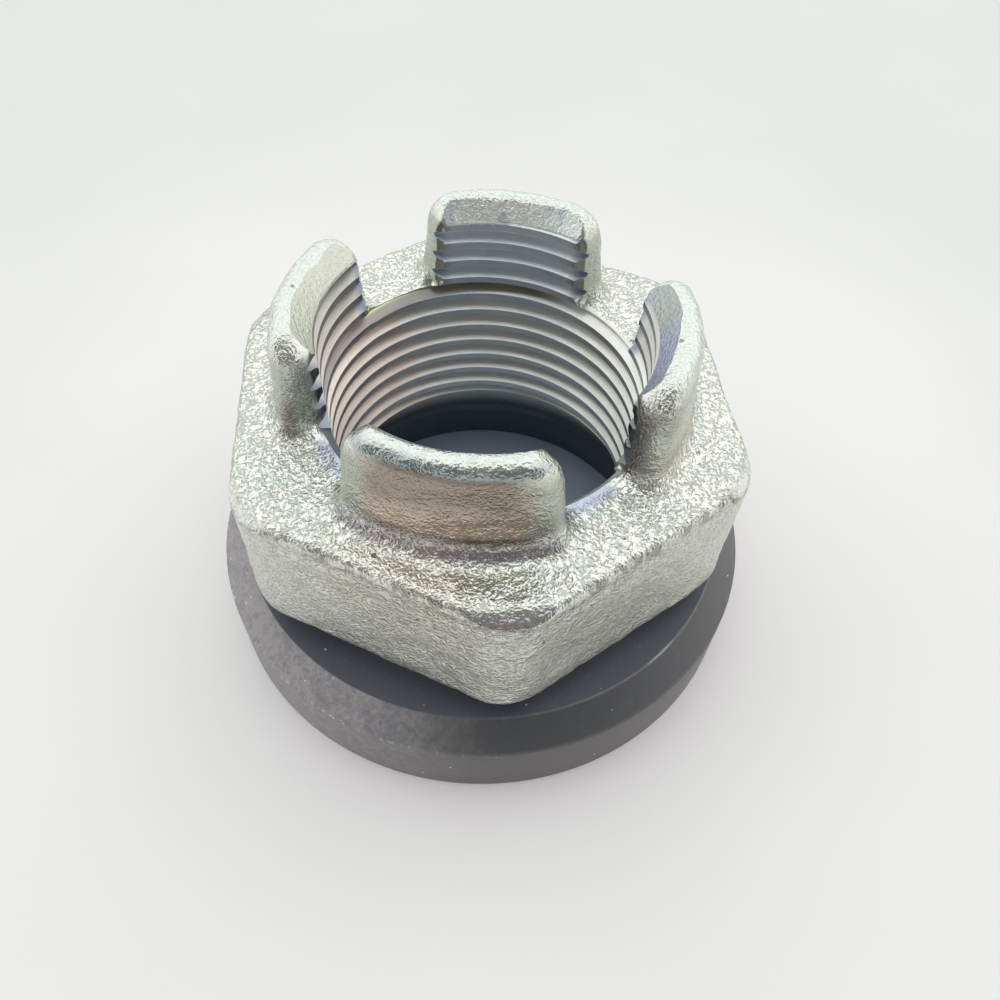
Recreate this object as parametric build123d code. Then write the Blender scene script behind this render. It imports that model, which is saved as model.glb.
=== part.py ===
from build123d import *
import math
import os

# Castellated axle nut, M45 x 3, 65 mm across flats, with a captive thrust washer.
# The nut is a forging with four lugs. The washer is turned and runs free on the nut's skirt.
# Origin: centre of the washer's underside. +Z runs up the thread axis, +X through a hexagon corner.
# All sizes are in millimetres, and all angles in degrees.

# Thread
thread_diameter = 45.0
thread_pitch = 3.0
thread_bore_allowance = 0.15

# Thrust washer
washer_diameter = 80.0
washer_thickness = 14.0
washer_bevel_height = 3.4
washer_bevel_width = 3.85
washer_edge_break = 0.4

# Hexagon
hexagon_sides = 6
across_flats = 65.0
hexagon_height = 20.6
hexagon_corner_radius = 7.9
top_edge_radius = 1.3
bottom_edge_radius = 0.6
corner_chamfer_width = 2.3
corner_chamfer_angle = 30.0

# Lugs of the crown, and the slots between them
lug_count = 4
slot_width = 11.1
lug_height = 13.7
lug_root_thickness = 6.25
lug_draft_angle = 4.0
lug_end_radius = 4.6
lug_crest_radius = 2.2
lug_foot_radius = 3.0

# Machined lead-in at the top of the lugs' inner faces, and the chamfer of the bore in the slots
lead_in_width = 2.15
lead_in_angle = 50.0
rim_drop = 0.5
crest_slope_angle = 25.0
mouth_chamfer_width = 1.25
mouth_chamfer_angle = 45.0

# Collar under the hexagon, and the counterbore under the thread
collar_height = 3.9
collar_seat_width = 3.5
relief_clearance = 0.5
relief_angle = 45.0
counterbore_step = 2.8
counterbore_rise = 1.0

# Skirt that holds the washer, with its rolled lip
skirt_wall = 1.2
skirt_straight_length = 4.6
lip_flare_angle = 45.0
lip_flare_length = 1.55
running_clearance = 0.3
groove_floor_clearance = 0.4
groove_floor_length = 1.3

# Basic inner diameter of a 60 degree metric thread, as a share of the pitch
minor_diameter_factor = 1.0825

# How far a cutting tool runs past the metal, and how near two heights count as one
overrun = 10.0
touch = 0.01

# The largest share of the level face beside a lug that its foot may take
foot_room_share = 0.9

# Heights, from the washer's underside up
washer_top = washer_thickness
hexagon_bottom = washer_top + collar_height
hexagon_top = hexagon_bottom + hexagon_height
lug_top = hexagon_top + lug_height
counterbore_top = washer_top + counterbore_rise
lip_bend = washer_top - skirt_straight_length

# Radii, from the bore out
bore_diameter = thread_diameter - minor_diameter_factor * thread_pitch + thread_bore_allowance
bore_radius = bore_diameter / 2
relief_radius = thread_diameter / 2 + relief_clearance
skirt_inner_radius = relief_radius + counterbore_step
skirt_outer_radius = skirt_inner_radius + skirt_wall
collar_radius = skirt_outer_radius + collar_seat_width
washer_bore_radius = skirt_outer_radius + running_clearance
lug_root_radius = bore_radius + lug_root_thickness
hexagon_apothem = across_flats / 2
washer_radius = washer_diameter / 2


def slope(angle):
    """Rise over run of a surface that stands at an angle to the level."""
    return math.tan(math.radians(angle))


def polar(radius, angle):
    return (radius * math.cos(math.radians(angle)), radius * math.sin(math.radians(angle)))


def turned(section):
    """A solid turned about the thread axis from a list of (radius, height) points."""
    return revolve(make_face(Polyline(*[(r, 0, z) for r, z in section], close=True)), Axis.Z)


# Rolled lip: the skirt's end, bent outwards at one thickness

flare_reach, flare_fall = polar(lip_flare_length, lip_flare_angle)
lip_end_fall, lip_end_reach = polar(skirt_wall, lip_flare_angle)
lip_outer = (skirt_outer_radius + flare_reach, lip_bend - flare_fall)
lip_inner = (lip_outer[0] - lip_end_reach, lip_outer[1] - lip_end_fall)
inner_bend = lip_bend - skirt_wall * slope(lip_flare_angle / 2)


# Thrust washer: a flat ring with a wide bevel above, and a groove in its bore around the lip

groove_radius = lip_outer[0] + groove_floor_clearance
groove_depth = groove_radius - washer_bore_radius
flank_gap = running_clearance / math.cos(math.radians(lip_flare_angle))
groove_top = lip_bend + flank_gap - running_clearance * slope(lip_flare_angle)
groove_floor_top = groove_top - groove_depth * slope(lip_flare_angle)
groove_floor_bottom = groove_floor_top - groove_floor_length
groove_bottom = groove_floor_bottom - groove_depth * slope(lip_flare_angle)

thrust_washer = turned([
    (washer_bore_radius, 0),
    (washer_radius - washer_edge_break, 0),
    (washer_radius, washer_edge_break),
    (washer_radius, washer_top - washer_bevel_height),
    (washer_radius - washer_bevel_width, washer_top),
    (washer_bore_radius, washer_top),
    (washer_bore_radius, groove_top),
    (groove_radius, groove_floor_top),
    (groove_radius, groove_floor_bottom),
    (washer_bore_radius, groove_bottom),
])


# Hexagon: rounded corners and edges, with a flat cone that trims the upper corners

hexagon_outline = RegularPolygon(hexagon_apothem, hexagon_sides, major_radius=False)
hexagon_outline = fillet(hexagon_outline.vertices(), hexagon_corner_radius)
hexagon = Pos(0, 0, hexagon_bottom) * extrude(hexagon_outline, hexagon_height)
hexagon = fillet(hexagon.faces().sort_by(Axis.Z)[-1].edges(), top_edge_radius)
hexagon = fillet(hexagon.faces().sort_by(Axis.Z)[0].edges(), bottom_edge_radius)

corner_arc_centre = (hexagon_apothem - hexagon_corner_radius) / math.cos(math.pi / hexagon_sides)
chamfer_start = corner_arc_centre + hexagon_corner_radius - corner_chamfer_width
chamfer_end = chamfer_start + corner_chamfer_width + overrun
corner_cutter = turned([
    (chamfer_start, hexagon_top),
    (chamfer_end, hexagon_top - (chamfer_end - chamfer_start) * slope(corner_chamfer_angle)),
    (chamfer_end, hexagon_top + overrun),
    (chamfer_start, hexagon_top + overrun),
])
hexagon = hexagon - corner_cutter


# Collar and skirt, solid to the axis until the bore is cut

collar = turned([
    (0, hexagon_bottom + bottom_edge_radius),
    (0, lip_inner[1]),
    lip_inner,
    lip_outer,
    (skirt_outer_radius, lip_bend),
    (skirt_outer_radius, washer_top),
    (collar_radius, washer_top),
    (collar_radius, hexagon_bottom + bottom_edge_radius),
])


# Crown: a drafted ring on the hexagon's top face, parted into lugs by drafted slots

lug_lean = lug_height * slope(lug_draft_angle)
crown = turned([
    (0, hexagon_top),
    (lug_root_radius, hexagon_top),
    (lug_root_radius - lug_lean, lug_top),
    (0, lug_top),
])

slot_floor_half = slot_width / 2
slot_lean = (lug_height + overrun) * slope(lug_draft_angle)
slot_mouth_half = slot_floor_half + slot_lean
slot_section = make_face(Polyline(
    (0, -slot_floor_half, hexagon_top),
    (0, slot_floor_half, hexagon_top),
    (0, slot_mouth_half, lug_top + overrun),
    (0, -slot_mouth_half, lug_top + overrun),
    close=True,
))
slot_cut = extrude(slot_section, lug_root_radius + overrun, dir=(1, 0, 0))
for place in range(lug_count):
    crown = crown - Rot(0, 0, 360 * place / lug_count) * slot_cut

# The lugs' ends are rounded down from the crests, then their outer corners and rims
crests = crown.faces().group_by(Axis.Z)[-1]
crown = fillet(crests.edges().filter_by(GeomType.LINE), lug_end_radius)
outer_walls = crown.faces().filter_by(GeomType.CONE)
rims = [edge for edge in outer_walls.edges() if edge.center().Z > hexagon_top + touch]
crown = fillet(rims, lug_crest_radius)


# Forging: hexagon, collar and crown in one, with a rounded foot around each lug

forging = hexagon + collar + crown
top_face = forging.faces().filter_by_position(Axis.Z, hexagon_top - touch, hexagon_top + touch)[0]
foot_edges = ShapeList(top_face.inner_wires()).edges()
foot_room = hexagon_apothem - top_edge_radius - lug_root_radius
forging = fillet(foot_edges, min(lug_foot_radius, foot_room_share * foot_room))


# Machining: one boring cut from the lip to the lugs' rims, then the chamfer of the bore in the slots

thread_bottom = counterbore_top + (relief_radius - bore_radius) * slope(relief_angle)
rim_radius = bore_radius + lead_in_width
rim_height = lug_top - rim_drop
lead_in_bottom = rim_height - lead_in_width * slope(lead_in_angle)
flare_overrun = polar(overrun, lip_flare_angle)
crest_overrun = polar(overrun, crest_slope_angle)
boring_cut = turned([
    (0, lip_inner[1] - flare_overrun[1]),
    (lip_inner[0] + flare_overrun[0], lip_inner[1] - flare_overrun[1]),
    (skirt_inner_radius, inner_bend),
    (skirt_inner_radius, counterbore_top),
    (relief_radius, counterbore_top),
    (bore_radius, thread_bottom),
    (bore_radius, lead_in_bottom),
    (rim_radius, rim_height),
    (rim_radius + crest_overrun[0], rim_height + crest_overrun[1]),
    (0, rim_height + crest_overrun[1]),
])
mouth_radius = bore_radius + mouth_chamfer_width
mouth_rise = overrun * slope(mouth_chamfer_angle)
mouth_cut = turned([
    (0, hexagon_top - mouth_radius * slope(mouth_chamfer_angle)),
    (mouth_radius + overrun, hexagon_top + mouth_rise),
    (0, hexagon_top + mouth_rise),
])
nut = forging - boring_cut - (mouth_cut - crown)


os.makedirs("parts", exist_ok=True)
export_step(nut, "parts/nut.step")
export_step(thrust_washer, "parts/thrust_washer.step")
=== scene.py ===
import math

import bpy
from mathutils import Matrix, Vector


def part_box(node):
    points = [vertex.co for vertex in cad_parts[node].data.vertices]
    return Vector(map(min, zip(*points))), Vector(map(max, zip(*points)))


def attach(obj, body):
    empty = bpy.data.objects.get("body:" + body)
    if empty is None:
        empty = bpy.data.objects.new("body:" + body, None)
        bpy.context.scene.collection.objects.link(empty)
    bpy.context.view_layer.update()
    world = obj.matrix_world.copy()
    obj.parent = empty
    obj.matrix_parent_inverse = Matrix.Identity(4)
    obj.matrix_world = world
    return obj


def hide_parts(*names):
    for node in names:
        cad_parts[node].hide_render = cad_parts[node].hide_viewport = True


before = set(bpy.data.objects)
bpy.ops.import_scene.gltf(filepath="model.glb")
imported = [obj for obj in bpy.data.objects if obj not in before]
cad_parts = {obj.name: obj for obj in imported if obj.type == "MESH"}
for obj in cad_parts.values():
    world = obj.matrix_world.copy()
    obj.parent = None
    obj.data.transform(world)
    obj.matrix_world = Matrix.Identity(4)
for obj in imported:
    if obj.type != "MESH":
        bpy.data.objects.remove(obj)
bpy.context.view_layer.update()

# Camera
# It stands above the front corner of the hexagon and looks down into the bore, as close as a hand holds
# a part. Its place and its three angles are those of the photograph.
mm = 0.001
camera_place = Vector((-46.97, -65.40, 118.18)) * mm
camera_heading = math.radians(-37.32)
camera_drop = math.radians(52.33)
camera_roll = math.radians(2.36)
camera_lens = 30.28
camera_sensor = 36.0
camera_shift = 0.0021
camera_near_limit = 1 * mm
turn = Matrix.Rotation(camera_heading, 3, "Z")
tilt = Matrix.Rotation(math.pi / 2 - camera_drop, 3, "X")
roll = Matrix.Rotation(camera_roll, 3, "Z")
bpy.ops.object.camera_add(location=camera_place, rotation=(turn @ tilt @ roll).to_euler())
camera = bpy.context.object
camera.data.lens = camera_lens
camera.data.sensor_width = camera_sensor
camera.data.shift_x = camera_shift
camera.data.clip_start = camera_near_limit
bpy.context.scene.camera = camera
bpy.context.scene.view_settings.view_transform = "Standard"


# Floor
# A sheet of plain pale paper, much wider than the view, that lies under the washer and keeps its soft
# shadow. That shadow has a painted pink tint in front of the washer, and the paper inside and under the
# washer's bore is painted a dark blue shade.


class Signal:
    """A value, colour or place that a finish works out at each point, so that its maths reads as Python.

    One made from a tree alone has no value, and only serves to add that tree's first nodes.
    """

    def __init__(self, tree, socket=None):
        self.tree = tree
        self.socket = socket

    def node(self, kind, settings=None, sockets=None, out=0):
        """Adds a node, sets it, feeds its sockets with numbers or signals, and gives one of its outputs."""
        made = self.tree.nodes.new(kind)
        for name, value in (settings or {}).items():
            setattr(made, name, value)
        for key, value in (sockets or {}).items():
            if isinstance(value, Signal):
                self.tree.links.new(value.socket, made.inputs[key])
            else:
                made.inputs[key].default_value = value
        return Signal(self.tree, made.outputs[out])

    def math(self, operation, *values):
        return self.node("ShaderNodeMath", {"operation": operation}, dict(enumerate(values)))

    def __add__(self, other):
        return self.math("ADD", self, other)

    def __radd__(self, other):
        return self.math("ADD", other, self)

    def __sub__(self, other):
        return self.math("SUBTRACT", self, other)

    def __rsub__(self, other):
        return self.math("SUBTRACT", other, self)

    def __mul__(self, other):
        return self.math("MULTIPLY", self, other)

    def __rmul__(self, other):
        return self.math("MULTIPLY", other, self)

    def __truediv__(self, other):
        return self.math("DIVIDE", self, other)

    def __pow__(self, other):
        return self.math("POWER", self, other)

    def __abs__(self):
        return self.math("ABSOLUTE", self)

    def __neg__(self):
        return self.math("MULTIPLY", self, -1)

    def at_most(self, other):
        """The smaller of two values."""
        return self.math("MINIMUM", self, other)

    def at_least(self, other):
        """The larger of two values."""
        return self.math("MAXIMUM", self, other)

    def rise(self, low, high):
        """0 below low, 1 above high, and a smooth rise between them. It falls where low is above high."""
        settings = {"interpolation_type": "SMOOTHSTEP"}
        return self.node("ShaderNodeMapRange", settings, {"Value": self, "From Min": low, "From Max": high})

    def band(self, low, full_low, full_high, high):
        """1 between the two full values, falling to 0 at the outer ones."""
        return self.rise(low, full_low) * self.rise(high, full_high)

    def mixed(self, first, second):
        """The first colour where this signal is 0, and the second where it is 1."""
        first, second = [tone if isinstance(tone, Signal) else (*tone, 1) for tone in (first, second)]
        return self.node("ShaderNodeMix", {"data_type": "RGBA"}, {0: self, 6: first, 7: second}, 2)

    def noise(self, wavelength, detail=2.0, roughness=0.5, distortion=0.0):
        """Soft cloudy noise, 0 to 1, read at this place in millimetres."""
        sockets = {
            "Vector": self,
            "Scale": 1 / wavelength,
            "Detail": detail,
            "Roughness": roughness,
            "Distortion": distortion,
        }
        return self.node("ShaderNodeTexNoise", {}, sockets)

    def cells(self, width, out=0):
        """Random cells of a width in millimetres: the distance from a cell's middle, or the cell's colour."""
        return self.node("ShaderNodeTexVoronoi", {}, {"Vector": self, "Scale": 1 / width}, out)

    def axes(self):
        """The x, y and z of this place."""
        return [self.node("ShaderNodeSeparateXYZ", {}, {0: self}, axis) for axis in range(3)]

    def near(self, point, wide, narrow):
        """1 within a narrow distance of a point, falling to 0 at a wide one, all in millimetres."""
        distance = self.node("ShaderNodeVectorMath", {"operation": "DISTANCE"}, {0: self, 1: point}, 1)
        return distance.rise(wide, narrow)

    def stretched(self, stretch):
        """This place with each axis scaled. A pattern runs longer along an axis that is scaled down."""
        return self.node("ShaderNodeVectorMath", {"operation": "MULTIPLY"}, {0: self, 1: stretch})

    def bump(self, strength, distance):
        """The normal of a surface that this signal raises by a distance in millimetres."""
        sockets = {"Strength": strength, "Distance": distance * mm, "Height": self}
        return self.node("ShaderNodeBump", {}, sockets)


def new_finish(name):
    """An empty finish: the material, its shader, and the place of each point in millimetres."""
    material = bpy.data.materials.new(name)
    material.use_nodes = True
    tree = material.node_tree
    shader = tree.nodes["Principled BSDF"]
    place = Signal(tree).node("ShaderNodeTexCoord", out="Object").stretched((1 / mm, 1 / mm, 1 / mm))
    return material, shader, place


def feed(shader, **signals):
    """Links signals to the shader's sockets, each named with underscores for spaces."""
    for name, signal in signals.items():
        signal.tree.links.new(signal.socket, shader.inputs[name.replace("_", " ")])


floor_width = 4.0
bpy.ops.object.select_all(action="DESELECT")
bpy.ops.mesh.primitive_plane_add(size=floor_width)
floor = bpy.context.object
floor.name = "floor"
paper, paper_shader, place = new_finish("paper")
paper_shader.inputs["Roughness"].default_value = 0.9
paper_shader.inputs["Specular IOR Level"].default_value = 0.0
x, y = place.axes()[:2]
radius = (x * x + y * y) ** 0.5
paper_tone = place.noise(60.0).rise(0.3, 0.7)
paper_colour = paper_tone.mixed((0.785, 0.795, 0.785), (0.81, 0.82, 0.805))
# Painted shadow tint: the paper is tinged pink where the washer's front shades it.
painted_shadow_tint = radius.rise(50, 42) * (-y / radius).rise(-0.2, 0.6) * 0.6
paper_colour = painted_shadow_tint.mixed(paper_colour, (0.84, 0.78, 0.81))
# Painted shade: inside and under the washer's bore the paper is painted a darker blue, and it gets no lift.
painted_bore_shade = radius.rise(36, 28)
paper_colour = painted_bore_shade.mixed(paper_colour, (0.54, 0.65, 0.82))
# Painted lift: the paper glows faintly for camera and glossy rays, which brightens its shadows near the
# washer. The glow is halved far out and left out in the bore.
camera_ray = place.node("ShaderNodeLightPath", out="Is Camera Ray")
glossy_ray = place.node("ShaderNodeLightPath", out="Is Glossy Ray")
lifted = (camera_ray + glossy_ray) * (1 - painted_bore_shade) * (1 - radius.rise(70, 170) * 0.5)
paper_lift = lifted.mixed((0, 0, 0), (0.155, 0.146, 0.153))
feed(paper_shader, Base_Color=paper_colour, Emission_Color=paper_lift)
paper_shader.inputs["Emission Strength"].default_value = 1.0
floor.data.materials.append(paper)


# Light
# A soft white tent, brightest behind the part and to its right. Low down, toward the camera, the tent has
# two dim gaps side by side, so what faces the camera mirrors something warm and dark, as in the photograph.

away = Vector((-camera_place.x, -camera_place.y, 0)).normalized()
rightward = Vector((away.y, -away.x, 0))
upward = Vector((0, 0, 1))
gap_rise = math.radians(36)
gap_turn = math.radians(27)
gap_widths = (41, 24)
glow_rise = math.radians(38)
glow_widths = (95, 20)
gap_centre = -away * math.cos(gap_rise) + upward * math.sin(gap_rise)
glow_centre = (away * 0.99 + rightward * 0.12) * math.cos(glow_rise) + upward * math.sin(glow_rise)
world = bpy.data.worlds.new("tent")
bpy.context.scene.world = world
world.use_nodes = True
sky = world.node_tree.nodes["Background"]
direction = Signal(world.node_tree).node("ShaderNodeTexCoord", out="Generated")


def toward(centre, wide, narrow):
    """1 within a narrow angle of a direction, falling to 0 at a wide angle from it, both in degrees."""
    dot = direction.node("ShaderNodeVectorMath", {"operation": "DOT_PRODUCT"}, {0: direction, 1: centre}, 1)
    return dot.rise(math.cos(math.radians(wide)), math.cos(math.radians(narrow)))


left_gap = toward(Matrix.Rotation(-gap_turn, 3, "Z") @ gap_centre, *gap_widths)
right_gap = toward(Matrix.Rotation(gap_turn, 3, "Z") @ gap_centre, *gap_widths)
gap = left_gap.at_least(right_gap)
tent = toward(glow_centre, *glow_widths).mixed((1.10, 1.12, 1.13), (1.22, 1.24, 1.21))
tent = gap.mixed(tent, (0.255, 0.25, 0.235))
seen = direction.node("ShaderNodeLightPath", out="Is Camera Ray")
tent = seen.mixed(tent, (0.82, 0.83, 0.82))
feed(sky, Color=tent)

lamp_place = away * 0.22 + rightward * 0.34 + upward * 0.40
lamp_aim = upward * 0.02
lamp_width = 0.30
lamp_power = 0.03
bpy.ops.object.light_add(type="AREA", location=lamp_place)
lamp = bpy.context.object
lamp.data.shape = "DISK"
lamp.data.size = lamp_width
lamp.data.energy = lamp_power
lamp.data.color = (1.0, 0.99, 0.96)
lamp.rotation_euler = (lamp_aim - lamp.location).to_track_quat("-Z", "Y").to_euler()


# Thrust washer
# A thick ring of turned steel with a wide bevel, phosphated black, dusty and scuffed from handling.
# A groove in its bore runs free around the rolled lip of the nut's skirt.

washer_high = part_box("thrust_washer")[1]
washer_radius = washer_high.x
washer_top = washer_high.z
bevel_width = 3.85 * mm
bevel_height = 3.4 * mm
bottom_break = 0.4 * mm
edge_break = 0.12 * mm
broken_above = math.radians(25)
washer_smooth_below = math.radians(20)
washer_bore_radius = 27.3 * mm
groove_radius = 28.5 * mm
groove_top = 9.5 * mm
groove_depth = groove_radius - washer_bore_radius
groove_floor = 1.3 * mm
washer_steps = 256
weld = mm / 1000


def turned(name, section, steps):
    """A closed ring turned about the thread axis from (radius, height) points, drawn by extruding a point."""
    bpy.ops.object.select_all(action="DESELECT")
    bpy.ops.mesh.primitive_plane_add(size=mm)
    ring = bpy.context.object
    ring.name = name
    bpy.ops.object.mode_set(mode="EDIT")
    bpy.ops.mesh.select_all(action="SELECT")
    bpy.ops.mesh.merge(type="CENTER")
    bpy.ops.transform.translate(value=(section[0][0], 0, section[0][1]))
    for (r0, z0), (r1, z1) in zip(section, section[1:] + section[:1]):
        bpy.ops.mesh.extrude_region_move(TRANSFORM_OT_translate={"value": (r1 - r0, 0, z1 - z0)})
    bpy.ops.mesh.select_all(action="SELECT")
    bpy.ops.mesh.remove_doubles(threshold=weld)
    bpy.ops.mesh.select_all(action="SELECT")
    bpy.ops.mesh.spin(steps=steps, angle=2 * math.pi, center=(0, 0, 0), axis=(0, 0, 1))
    bpy.ops.mesh.select_all(action="SELECT")
    bpy.ops.mesh.remove_doubles(threshold=weld)
    bpy.ops.mesh.normals_make_consistent(inside=False)
    bpy.ops.object.mode_set(mode="OBJECT")
    return ring


washer = turned("thrust_washer_ring", [
    (washer_bore_radius, 0),
    (washer_radius - bottom_break, 0),
    (washer_radius, bottom_break),
    (washer_radius, washer_top - bevel_height),
    (washer_radius - bevel_width, washer_top),
    (washer_bore_radius, washer_top),
    (washer_bore_radius, groove_top),
    (groove_radius, groove_top - groove_depth),
    (groove_radius, groove_top - groove_depth - groove_floor),
    (washer_bore_radius, groove_top - 2 * groove_depth - groove_floor),
], washer_steps)


def apply_modifier(piece, kind, **settings):
    """Adds a modifier to a piece, sets it and applies it."""
    bpy.context.view_layer.objects.active = piece
    bpy.ops.object.modifier_add(type=kind)
    modifier = piece.modifiers[-1]
    for name, value in settings.items():
        setattr(modifier, name, value)
    bpy.ops.object.modifier_apply(modifier=modifier.name)


apply_modifier(
    washer, "BEVEL", width=edge_break, segments=2, limit_method="ANGLE", angle_limit=broken_above
)
bpy.ops.object.select_all(action="DESELECT")
washer.select_set(True)
bpy.context.view_layer.objects.active = washer
bpy.ops.object.shade_smooth_by_angle(angle=washer_smooth_below)

# Phosphate: powdery and scuffed where hands held it, with crumbs of dirt, and worn to bright edges. Off the
# top, it is paler toward the right, and its bevel has a painted sheen at the left and right of the view.
phosphate, phosphate_shader, place = new_finish("black_phosphate")
x, y, z = place.axes()
radius = (x * x + y * y) ** 0.5
leftward = -x / radius
across = (x * rightward.x + y * rightward.y) / radius
top_edge = 36.15
bevel_foot = 10.6
on_top = radius.rise(top_edge + 0.15, top_edge - 0.15)
on_wall = radius.rise(39.6, 39.9)
mottle = place.noise(1.6, detail=5.0, roughness=0.75)
speckle = place.noise(0.6, detail=4.0, roughness=0.75)
patch = place.noise(11.0, detail=2.0)
handled = leftward.rise(0.50, 1.0) * (1 - on_top)
powder = 0.36 + patch * 0.25 + mottle.rise(0.35, 0.65) * 0.40 + speckle.rise(0.35, 0.70) * 0.30
# Paler toward the right, and on the bevel a painted sheen at the left and right of the view, both mixed into
# the dust.
paler_on_right = leftward.rise(0.0, -0.9) * (1 - on_top) * 0.09
painted_side_sheen = (1 - on_top) * (1 - on_wall) * across * across * 0.14
freckles = mottle.rise(0.5, 0.75) * speckle.rise(0.40, 0.66) * 0.14
dust_and_sheen = handled * powder + paler_on_right + painted_side_sheen + freckles
# The top is bluer. The outer wall is painted paler, a painted sheen of the floor seen at a slant, and the
# bore is painted a paler blue, a painted reflection of the paper under it.
ground = on_top.mixed((0.074, 0.076, 0.082), (0.074, 0.084, 0.112))
ground = on_wall.mixed(ground, (0.132, 0.124, 0.133))
ground = radius.rise(29.0, 27.6).mixed(ground, (0.080, 0.115, 0.140))
phosphate_colour = dust_and_sheen.mixed(ground, (0.42, 0.395, 0.42))
crumb = place.cells(1.3).rise(0.15, 0.08)
crumb_pick = place.cells(1.3, out=1) + handled * 0.25
chosen = crumb_pick.rise(0.82, 0.83) * patch.rise(0.40, 0.46) * radius.rise(29, 30)
worn_foot = abs(z - bevel_foot).rise(0.30, 0.05) * radius.rise(39.4, 39.8)
worn_foot = worn_foot * speckle.rise(0.55, 0.62) * handled
worn_head = abs(radius - top_edge).rise(0.22, 0.05) * z.rise(13.6, 13.8)
worn_head = worn_head * leftward.rise(0.8, 0.0) * (mottle * 0.45 + patch.rise(0.5, 0.6) * 0.45)
marks = (crumb * chosen + (worn_foot + worn_head) * 0.6).at_most(1)
phosphate_colour = marks.mixed(phosphate_colour, (0.85, 0.85, 0.85))
phosphate_normal = (mottle * 0.6 + speckle * 0.4).bump(0.3, 0.05)
feed(phosphate_shader, Base_Color=phosphate_colour, Roughness=0.40 + dust_and_sheen * 0.4, Normal=phosphate_normal)
washer.data.materials.append(phosphate)
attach(washer, "washer")
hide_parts("thrust_washer")


# Nut
# A steel forging: hexagon, collar and skirt below, and a crown of four lugs above, all in one piece. Its
# outer skin keeps the coarse grain and the soft, uneven edges of the die under a bright zinc plating. The
# bore, the lead-in and the 3 mm thread are cut into it, and the skirt's end is rolled out under the washer.

skin_voxel = 0.45 * mm
hexagon_bottom = 17.9 * mm
hexagon_top = 38.5 * mm
bore_radius = 20.95 * mm
collar_radius = 30.5 * mm
skirt_radius = 27.0 * mm
skirt_inner_radius = 25.8 * mm
relief_radius = 23.0 * mm
counterbore_top = 15.0 * mm
lip_bend = 9.4 * mm
inner_bend = 8.9 * mm
lip_outer = (28.1 * mm, 8.3 * mm)
lip_inner = (27.25 * mm, 7.45 * mm)
slot_half = 5.55 * mm
lug_draft = math.radians(4)
fine_steps = 192
nut_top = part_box("nut")[1].z


def copied(node, name):
    """A merged copy of a CAD node's loose triangles, as an object of its own."""
    piece = bpy.data.objects.new(name, node.data.copy())
    bpy.context.scene.collection.objects.link(piece)
    bpy.ops.object.select_all(action="DESELECT")
    piece.select_set(True)
    bpy.context.view_layer.objects.active = piece
    bpy.ops.object.mode_set(mode="EDIT")
    bpy.ops.mesh.select_all(action="SELECT")
    bpy.ops.mesh.remove_doubles(threshold=weld)
    bpy.ops.object.mode_set(mode="OBJECT")
    piece.data.materials.clear()
    return piece


def cut(piece, tool, operation, **settings):
    """Cuts or joins a piece with a tool, which is used up."""
    apply_modifier(piece, "BOOLEAN", operation=operation, object=tool, solver="MANIFOLD", **settings)
    bpy.data.objects.remove(tool)


def block(low, high):
    """A plain block between two corners."""
    bpy.ops.object.select_all(action="DESELECT")
    middle = (low + high) / 2
    bpy.ops.mesh.primitive_cube_add(size=1, location=middle, scale=high - low)
    bpy.ops.object.transform_apply(location=True, rotation=False, scale=True)
    return bpy.context.object


nut = copied(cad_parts["nut"], "axle_nut")
clear_of_nut = 100 * mm
keep_low = Vector((-clear_of_nut, -clear_of_nut, hexagon_bottom))
keep_high = Vector((clear_of_nut, clear_of_nut, nut_top + clear_of_nut))
cut(nut, block(keep_low, keep_high), "INTERSECT")

# The chamfer of the bore in the slots is filled here, and cut afresh and crisp after the skin
mouth_fill_radius = 23.1 * mm
mouth_fill_depth = 2 * mm
mouth_fill = turned("mouth_fill", [
    (bore_radius, hexagon_top - mouth_fill_depth),
    (mouth_fill_radius, hexagon_top - mouth_fill_depth),
    (mouth_fill_radius, hexagon_top),
    (bore_radius, hexagon_top),
], fine_steps)
cut(nut, mouth_fill, "UNION")

# The inner corners of the lugs' ends are broken before the skin is made
corner_break = 0.9 * mm
breaker_width = corner_break * math.sqrt(2)
breaker_length = 30 * mm
breaker_lift = 16 * mm
breaker_turn = math.radians(8)
corner_along = math.sqrt(bore_radius ** 2 - slot_half ** 2)
for quarter in range(4):
    for side in (-1, 1):
        bpy.ops.object.select_all(action="DESELECT")
        bpy.ops.mesh.primitive_cube_add(
            size=1,
            location=(0, 0, breaker_lift),
            rotation=(0, 0, math.radians(45) + side * breaker_turn),
            scale=(breaker_width, breaker_width, breaker_length),
        )
        breaker = bpy.context.object
        bpy.ops.object.transform_apply(location=True, rotation=True, scale=True)
        breaker.rotation_euler.x = -side * lug_draft
        breaker.location = (corner_along, side * slot_half, hexagon_top)
        bpy.ops.object.transform_apply(location=True, rotation=True, scale=False)
        breaker.rotation_euler.z = quarter * math.pi / 2
        bpy.ops.object.transform_apply(location=False, rotation=True, scale=False)
        cut(nut, breaker, "DIFFERENCE")

# The skin: soft edges, then three sizes of uneven ground that fade out toward the bore
apply_modifier(nut, "REMESH", mode="VOXEL", voxel_size=skin_voxel)
apply_modifier(nut, "SMOOTH", factor=0.5, iterations=1)
skin_start = 22.3 * mm
skin_full = 23.6 * mm
forged = nut.vertex_groups.new(name="forged")
for vertex in nut.data.vertices:
    from_axis = math.hypot(vertex.co.x, vertex.co.y)
    share = min(1.0, max(0.0, (from_axis - skin_start) / (skin_full - skin_start)))
    forged.add([vertex.index], share * share * (3 - 2 * share), "REPLACE")
for lump_size, lump_height in ((9.0 * mm, 0.55 * mm), (2.4 * mm, 0.26 * mm), (1.4 * mm, 0.08 * mm)):
    lumps = bpy.data.textures.new("lumps", "CLOUDS")
    lumps.noise_scale = lump_size
    lumps.noise_depth = 1
    apply_modifier(
        nut, "DISPLACE", texture=lumps, texture_coords="LOCAL", strength=lump_height, mid_level=0.5,
        vertex_group="forged",
    )

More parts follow.
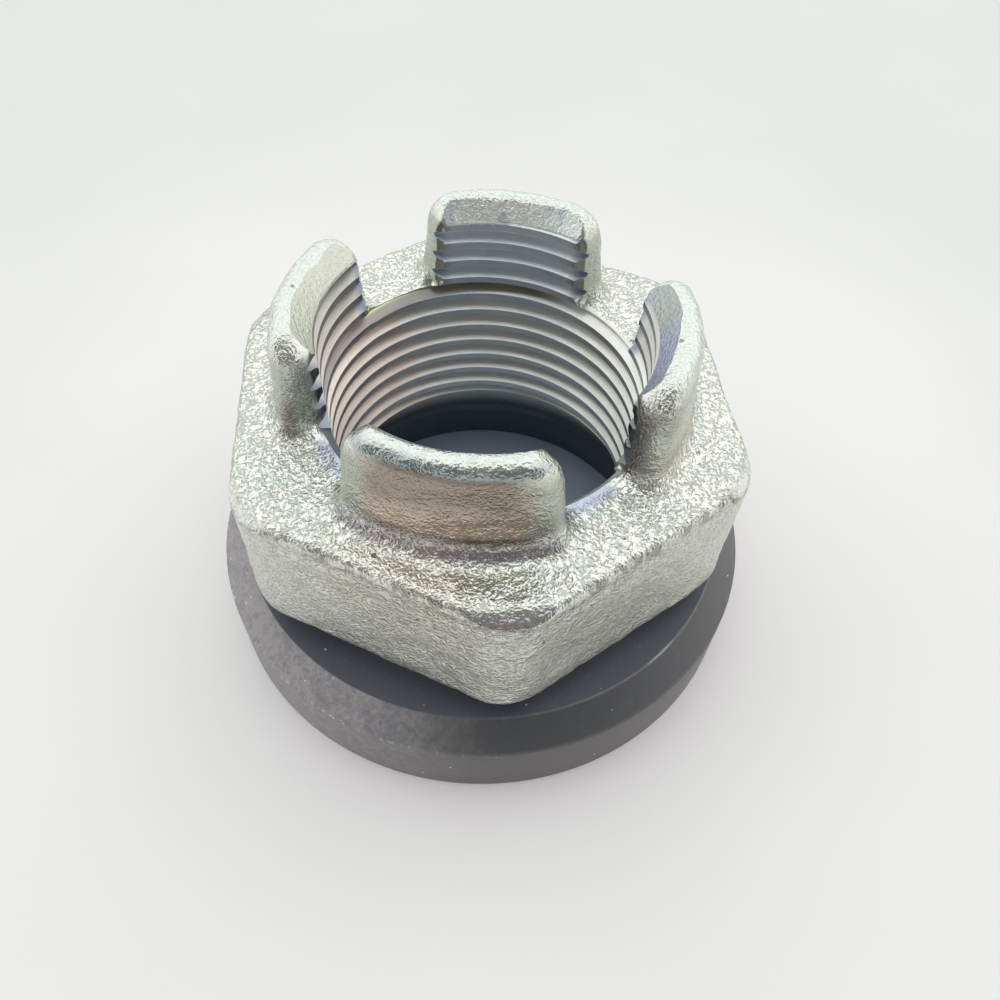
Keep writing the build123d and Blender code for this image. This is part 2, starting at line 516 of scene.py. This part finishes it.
# The six upper corners of the hexagon are trimmed by a flat cone, crisp against the lumpy skin
facet_start = 34.6 * mm
facet_drop = 0.1 * mm
facet_slope = math.tan(math.radians(35))
facet_row = 0.4 * mm
facet_rows = [facet_start + row * facet_row for row in range(9)]
facet_clear = 3 * mm
facet_steps = 480
facet_section = [(r, hexagon_top - facet_drop - (r - facet_start) * facet_slope) for r in facet_rows]
facet_section += [
    (facet_rows[-1], hexagon_top + facet_clear),
    (facet_start - facet_clear, hexagon_top + facet_clear),
    (facet_start - facet_clear, hexagon_top - facet_drop + facet_clear * facet_slope),
]
cut(nut, turned("facets", facet_section, facet_steps), "DIFFERENCE")

# The neck is turned in one with the nut: collar, counterbore, and the skirt with its rolled lip
neck_overlap = 1.5 * mm
neck = turned("neck", [
    (skirt_inner_radius, inner_bend),
    lip_inner,
    lip_outer,
    (skirt_radius, lip_bend),
    (skirt_radius, washer_top),
    (collar_radius, washer_top),
    (collar_radius, hexagon_bottom + neck_overlap),
    (bore_radius, hexagon_bottom + neck_overlap),
    (bore_radius, counterbore_top + relief_radius - bore_radius),
    (relief_radius, counterbore_top),
    (skirt_inner_radius, counterbore_top),
], fine_steps)
cut(nut, neck, "UNION")

# Forged zinc: a wrinkled, grainy skin, with painted light and shade on its level faces, and painted
# reflections and shade around the lugs
zinc, zinc_shader, place = new_finish("forged_zinc")
zinc_shader.inputs["Metallic"].default_value = 1.0
x, y, z = place.axes()
radius = (x * x + y * y) ** 0.5
flank_draw = 0.15
lie = place.node("ShaderNodeCombineXYZ", {}, {0: x, 1: y, 2: z * (1 + flank_draw * z.rise(38, 35))})
tint = place.noise(7.0, detail=3.0, roughness=0.6)
swell = lie.noise(1.3)
grain = lie.noise(0.55, roughness=0.55)


def valleys(pattern):
    """0 along the winding lines where a noise passes its middle, and rising on both sides of them."""
    return abs(pattern - 0.5)


wide_valleys = valleys(lie.noise(0.88, roughness=0.45, distortion=0.3))
narrow_valleys = valleys(lie.stretched((1.1, 0.9, 1.05)).noise(0.57, detail=1.0, distortion=0.2))
leather = (wide_valleys * 3.2 + narrow_valleys * 2.2) ** 0.8
creased = wide_valleys.rise(0.07, 0.0) * 0.8 + narrow_valleys.rise(0.06, 0.0) * 0.5
forged_skin = radius.rise(22.1, 23.4) * z.rise(16.8, 17.6)
pits = place.cells(3.5).rise(0.11, 0.07) * place.cells(3.5, out=1).rise(0.66, 0.67) * forged_skin
# Painted shade: a lumpy dark band along the hexagon's rounded top edges, kept off the facets.
painted_edge_shade = z.band(36.2, 37.0, 37.9, 38.4) * lie.noise(2.0, detail=4.0, roughness=0.7).rise(0.45, 0.58)

# Where the skin lies: corner facets, and the outer face, foot, ends and crest of each lug
upright = place.stretched((1, 1, 0))
facet = radius.rise(34.1, 34.6) * (z + radius * 0.70).rise(62.25, 62.50) * z.rise(38.5, 38.3)
front_corner = place.near((-18.2, -30.5, 38), 9, 6)
front_level = place.near((-17.0, -27.0, 38.5), 14, 7) * (1 - facet) * z.rise(37.6, 38.2)
level = z.band(37.6, 38.3, 39.5, 41.5)
front_face = place.near((-18.7, -18.7, 45), 13, 8) * z.band(40.0, 41.2, 50.9, 51.5)
front_foot = place.near((-20.5, -20.5, 42.5), 18, 12)
# Painted reflection and shade: a dark purple band along the front lug's foot, and a dark line where its face
# meets the foot.
foot_band = z.band(38.8, 39.3, 39.8, 40.5) * radius.rise(30.0, 29.0) * front_foot
foot_line = z.band(40.0, 40.5, 41.1, 41.7) * place.near((-18.7, -18.7, 41), 13, 8)
foot_rim = z.rise(39.2, 38.9) * radius.band(29.2, 29.7, 30.4, 31.0) * front_foot
slot_floors = place.near((-22.8, 0.5, 38.5), 4.5, 2.0) + place.near((-0.5, -22.5, 38.5), 5.0, 2.5)
slot_edges = slot_floors * radius.rise(25.0, 23.2)
# Painted shade: the lugs' other outer faces are painted a darker grey.
lug_sides = z.band(40.0, 42.0, 49.0, 50.5) * (1 - front_face)
crests = z.rise(50.6, 51.6)
# Painted reflection: a dark band just below the front lug's crest.
crest_band = z.band(50.7, 51.1, 51.5, 52.0) * radius.rise(23.8, 24.4)
crest_band = crest_band * place.near((-20.5, -20.5, 46), 16, 11)
# Painted shade: dark strips on the broken corners of two lug ends, and in the narrow valleys at one lug's
# tip.
left_end = upright.near((-25.7, 6.1, 0), 1.7, 0.7) * z.band(38.9, 39.6, 48.5, 50.5)
right_end = upright.near((5.9, -23.3, 0), 1.5, 0.5) * z.band(38.9, 39.6, 48.0, 50.0)
tip = place.near((8.4, -24.0, 49.5), 5.0, 2.5)
tip_valley_shade = place.near((8.4, -23.6, 49.0), 3.6, 0.6) * narrow_valleys.rise(0.16, 0.02)
painted_end_shade = (left_end + right_end + tip_valley_shade * 0.8).at_most(1) * (0.45 + grain * 0.6)
side_sheen = place.near((12.5, -24.0, 41.5), 8, 3) * z.rise(38.8, 39.6) * (1 - crests)
corner_sheen = place.near((-27, -20, 35.5), 13, 6)
under_thread = radius.rise(26.6, 26.2) * z.rise(16.6, 15.4)

# The relief is shallower above the level faces, and calmer on the facets and in front of the front lug
calm = facet * 0.55 + front_level * 0.35
bold = (0.90 - z.rise(39.3, 41.5) * (1 - tip) * 0.28) * forged_skin * (1 - calm)
# Painted shade: the grain's creases are painted dark, less so on and above the level faces.
crease_shade = creased * bold * (0.55 - z.rise(37.6, 38.3) * 0.25)

# Colours that run from one tone into another
# Painted light and shade: the level faces are painted pale on the ridges of the relief and dark in its
# hollows.
ridge_light_and_shade = leather.rise(0.22, 0.80).mixed((0.46, 0.51, 0.46), (0.93, 0.95, 0.89))
# Painted reflection: the front lug's outer face is painted brown, darker upward and darkest at its crest.
painted_front_reflection = z.rise(42.0, 47.0).mixed((0.80, 0.63, 0.53), (0.36, 0.295, 0.245))
painted_front_reflection = z.rise(49.9, 50.5).mixed(painted_front_reflection, (0.20, 0.16, 0.13))
# Painted reflection: the facets are painted taupe, darker lower down and paler at the front corner.
facet_tone = z.rise(37.2, 37.9).mixed((0.60, 0.53, 0.50), (0.66, 0.63, 0.67))
facet_tone = front_corner.mixed((0.68, 0.70, 0.66), facet_tone)
# Painted shade and reflection: inside the skirt the wall is painted dark low down and cream higher up.
well_shade_and_reflection = z.rise(9.0, 12.5).mixed((0.12, 0.13, 0.13), (0.76, 0.70, 0.61))

zinc_colour = tint.rise(0.35, 0.65).mixed((0.77, 0.775, 0.685), (0.815, 0.81, 0.76))
for share, tone in (
    (level * 0.8, ridge_light_and_shade),
    (front_face * 0.9, painted_front_reflection),
    (foot_band * 0.6, (0.27, 0.21, 0.29)),
    (foot_line * 0.85, (0.17, 0.135, 0.13)),
    (foot_rim * 0.25, (0.50, 0.62, 0.48)),
    (slot_edges * 0.75, (0.42, 0.47, 0.62)),
    (lug_sides * 0.9, (0.52, 0.55, 0.49)),
    (crests * 0.5, (0.66, 0.76, 0.73)),
    (crest_band * 0.8, (0.34, 0.40, 0.42)),
    (facet * 0.85, facet_tone),
    (painted_end_shade, (0.36, 0.30, 0.29)),
    ((side_sheen + corner_sheen * 0.7) * 0.55, (0.84, 0.74, 0.66)),
    (painted_edge_shade * (1 - facet) * 0.8, (0.36, 0.32, 0.31)),
    (under_thread, well_shade_and_reflection),
    # painted shade in the creases and pits
    (crease_shade + pits * 0.7, (0.17, 0.17, 0.15)),
):
    zinc_colour = share.mixed(zinc_colour, tone)
zinc_relief = (leather * 0.55 + grain * 0.25 + swell * 0.20) * bold - pits * 0.5
zinc_roughness = 0.20 + z.rise(37.5, 35.0) * 0.08
feed(zinc_shader, Base_Color=zinc_colour, Roughness=zinc_roughness, Normal=zinc_relief.bump(1.0, 0.26))
nut.data.materials.clear()
nut.data.materials.append(zinc)

# Machined zinc: smooth thread flanks, and a finely torn lead-in with a lilac bloom, with painted light and
# shade that differ around the bore
machined, machined_shader, place = new_finish("machined_zinc")
x, y, z = place.axes()
radius = (x * x + y * y) ** 0.5
across = (x * rightward.x + y * rightward.y) / radius
along = (x * away.x + y * away.y) / radius
to_slot = abs(x).at_most(abs(y))
tint = place.noise(5.0, detail=3.0, roughness=0.6)
tears = place.noise(0.55, detail=3.0, roughness=0.7)
lead_in = z.rise(49.1, 49.4)
# Painted shade: the thread on the side lugs is painted darker, and darker and bluer at the lugs' ends.
on_lugs = z.rise(38.8, 42.0) * abs(across).rise(0.4, 0.8)
lug_ends = to_slot.rise(8.2, 6.4) * z.rise(38.8, 40.0)
# Painted shade: the teeth at one lug's end are painted dark, and they are also made less metallic.
dull_shaded_teeth = place.stretched((1, 1, 0)).near((5.9, -20.6, 0), 3.2, 1.8) * z.band(38.6, 39.0, 48.6, 49.0)
# Painted reflection: the far side of the bore is painted a bluer grey, more so higher up.
far_side = along.rise(0.70, 0.92) * (0.15 + z.rise(32, 40) * 0.45)
bloom = tint.rise(0.50, 0.62) * across.rise(-0.6, -0.3) * 0.45
bloom = bloom + along.rise(0.1, -0.3) * across.rise(0.2, 0.6)
mouth_ring = z.band(37.25, 37.45, 38.8, 39.2) * (1 - on_lugs) * across.rise(0.6, 0.3)
# Painted light and shade: the lead-in is painted darker toward the right of the view and warmer toward the
# left, and the lilac bloom mixes over both.
lead_in_tone = across.rise(0.5, 0.9).mixed((0.92, 0.97, 0.92), (0.45, 0.49, 0.46))
lead_in_tone = across.rise(-0.5, -0.9).mixed(lead_in_tone, (0.66, 0.67, 0.58))
lead_in_tone = bloom.mixed(lead_in_tone, (0.46, 0.48, 0.66))
# Painted shade and reflection: the chamfer in the slots is painted dark, bluer toward the camera, with a
# yellow-green band along its top on the far side.
mouth_tone = along.rise(0.2, -0.2).mixed((0.36, 0.33, 0.33), (0.38, 0.43, 0.53))
mouth_tone = (z.rise(38.15, 38.35) * along.rise(0.2, 0.5)).mixed(mouth_tone, (0.62, 0.66, 0.36))
# Painted reflection: the thread is painted pinker toward the left of the view.
machined_colour = across.rise(-0.2, -0.7).mixed((0.95, 0.96, 0.91), (0.97, 0.86, 0.78))
for share, tone in (
    (on_lugs * 0.8, (0.47, 0.47, 0.45)),
    (lug_ends * 0.9, (0.24, 0.26, 0.36)),
    (dull_shaded_teeth, (0.30, 0.31, 0.29)),
    (far_side, (0.70, 0.78, 0.90)),
    (lead_in, lead_in_tone),
    (mouth_ring * 0.9, mouth_tone),
):
    machined_colour = share.mixed(machined_colour, tone)
machined_roughness = 0.42 - lead_in * 0.12 + (tint - 0.5) * 0.2
machined_normal = (tears * (0.40 + lead_in * 2.4)).bump(1.0, 0.06)
feed(machined_shader, Base_Color=machined_colour, Roughness=machined_roughness, Normal=machined_normal)
feed(machined_shader, Metallic=1 - dull_shaded_teeth * 0.75)

# Thread: a right-hand tap of 3 mm pitch runs up the bore and the lugs, and fades out below the lead-in
pitch = 3.0 * mm
thread_radius = 22.5 * mm
core_radius = 21.05 * mm
thread_depth = thread_radius - core_radius
flank_rise = thread_depth * math.tan(math.radians(30))
root_width = pitch / 8
crest_edge_height = 37.2 * mm
crest_edge_azimuth = math.radians(54.3)
turns_below = 9
turns = 14
thread_steps = 120
tap_bottom = 14.0 * mm
tap_top = 50.5 * mm
tap_weld = 0.01 * mm
fade_start = 48.2 * mm
fade_end = 49.7 * mm
fade_clear = 1 * mm
fade_gap = 0.02 * mm

bpy.ops.object.select_all(action="DESELECT")
bpy.ops.mesh.primitive_plane_add(size=mm)
tap = bpy.context.object
tap.name = "tap"
bpy.ops.object.mode_set(mode="EDIT")
bpy.ops.mesh.select_all(action="SELECT")
bpy.ops.mesh.merge(type="CENTER")
bpy.ops.transform.translate(value=(core_radius, 0, crest_edge_height - turns_below * pitch))
for out, up in (
    (thread_depth, flank_rise),
    (0, root_width),
    (-thread_depth, flank_rise),
    (0, pitch - root_width - 2 * flank_rise),
):
    bpy.ops.mesh.extrude_region_move(TRANSFORM_OT_translate={"value": (out, 0, up)})
bpy.ops.object.mode_set(mode="OBJECT")
tap.rotation_euler.z = crest_edge_azimuth
bpy.ops.object.transform_apply(location=True, rotation=True, scale=True)
apply_modifier(
    tap, "SCREW", angle=2 * math.pi, screw_offset=pitch, iterations=turns, steps=thread_steps,
    render_steps=thread_steps, use_merge_vertices=True, merge_threshold=weld,
)
bpy.ops.object.mode_set(mode="EDIT")
bpy.ops.mesh.select_all(action="SELECT")
bpy.ops.mesh.remove_doubles(threshold=tap_weld)
for end_height, clear_below in ((tap_bottom, True), (tap_top, False)):
    bpy.ops.mesh.select_all(action="SELECT")
    bpy.ops.mesh.bisect(
        plane_co=(0, 0, end_height), plane_no=(0, 0, 1), use_fill=True, clear_inner=clear_below,
        clear_outer=not clear_below,
    )
bpy.ops.mesh.select_all(action="SELECT")
bpy.ops.mesh.normals_make_consistent(inside=False)
bpy.ops.object.mode_set(mode="OBJECT")
fade_slope = (fade_end - fade_start) / thread_depth
fade = turned("fade", [
    (0, tap_bottom - fade_clear),
    (thread_radius + fade_clear, tap_bottom - fade_clear),
    (thread_radius + fade_clear, fade_start - fade_clear * fade_slope),
    (core_radius + fade_gap, fade_end),
    (core_radius + fade_gap, tap_top + fade_clear),
    (0, tap_top + fade_clear),
], fine_steps)
cut(tap, fade, "INTERSECT")

# The reamer cuts the lead-in at the lugs' rims, and the mouth tool the chamfer of the bore in the slots
lead_in_bottom = 49.14 * mm
lead_in_slope = math.tan(math.radians(50))
reamer_bottom = 44.0 * mm
reamer_top = 55.0 * mm
reamer_step = 0.05 * mm
reamer = turned("reamer", [
    (0, reamer_bottom),
    (core_radius - reamer_step, reamer_bottom),
    (core_radius - reamer_step, lead_in_bottom - reamer_step * lead_in_slope),
    (core_radius + (reamer_top - lead_in_bottom) / lead_in_slope, reamer_top),
    (0, reamer_top),
], fine_steps)
mouth_radius = 22.1 * mm
mouth_half = 5.3 * mm
mouth_reach = 3.5 * mm
mouth_step = 0.5 * mm
mouth = turned("mouth", [
    (0, hexagon_top - mouth_reach),
    (mouth_radius - mouth_reach, hexagon_top - mouth_reach),
    (mouth_radius + mouth_step, hexagon_top + mouth_step),
    (mouth_radius + mouth_step, hexagon_top + mouth_reach),
    (0, hexagon_top + mouth_reach),
], fine_steps)
cross_arm = 30 * mm
cross_bottom = 30 * mm
cross_top = 45 * mm
bar_x = block(Vector((-cross_arm, -mouth_half, cross_bottom)), Vector((cross_arm, mouth_half, cross_top)))
bar_y = block(Vector((-mouth_half, -cross_arm, cross_bottom)), Vector((mouth_half, cross_arm, cross_top)))
cut(bar_x, bar_y, "UNION")
cut(mouth, bar_x, "INTERSECT")
for tool in (tap, reamer, mouth):
    tool.data.materials.clear()
    tool.data.materials.append(machined)
    cut(nut, tool, "DIFFERENCE", material_mode="TRANSFER")

# The cut faces keep crisp borders, and the rest is shaded smooth
nut_smooth_below = math.radians(32)
bpy.ops.object.select_all(action="DESELECT")
nut.select_set(True)
bpy.context.view_layer.objects.active = nut
bpy.ops.object.mode_set(mode="EDIT")
bpy.ops.mesh.select_mode(type="FACE")
bpy.ops.mesh.select_all(action="DESELECT")
nut.active_material_index = nut.data.materials.find(machined.name)
bpy.ops.object.material_slot_select()
bpy.ops.mesh.region_to_loop()
bpy.ops.mesh.mark_sharp()
bpy.ops.object.mode_set(mode="OBJECT")
bpy.ops.object.shade_smooth_by_angle(angle=nut_smooth_below, keep_sharp_edges=True)
nut.vertex_groups.clear()
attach(nut, "nut")
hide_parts("nut")
